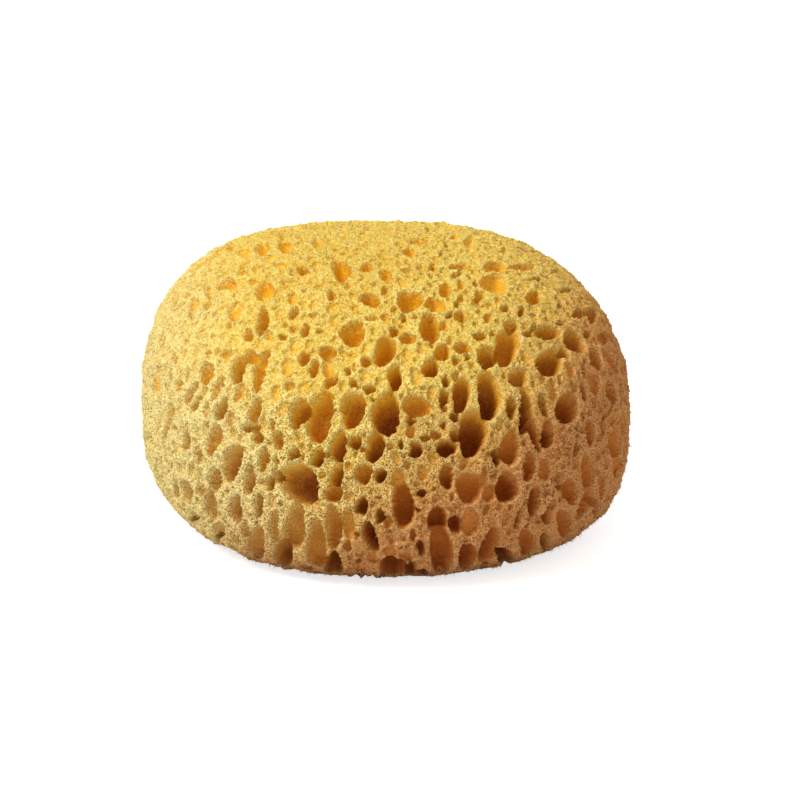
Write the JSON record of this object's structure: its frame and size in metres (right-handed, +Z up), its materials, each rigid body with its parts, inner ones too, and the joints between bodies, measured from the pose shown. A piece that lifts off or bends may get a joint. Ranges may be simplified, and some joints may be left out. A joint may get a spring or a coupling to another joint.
{
  "type": "natural sea sponge",
  "caption": "Rounded natural bath sponge, a broad dome with open oval pits all over its skin and a flat cut base.",
  "frame": {"origin": "middle of the flat cut base", "axes": "+X to the right along the widest side as seen from the front, +Y towards the back, +Z up from the cut base to the crown"},
  "size_m": [0.1403, 0.1314, 0.0829],
  "materials": {
    "spongin": "matt dry fibre skeleton, straw yellow with browner pits"
  },
  "bodies": {
    "root": {"sponge": "spongin"}
  },
  "joints": []
}
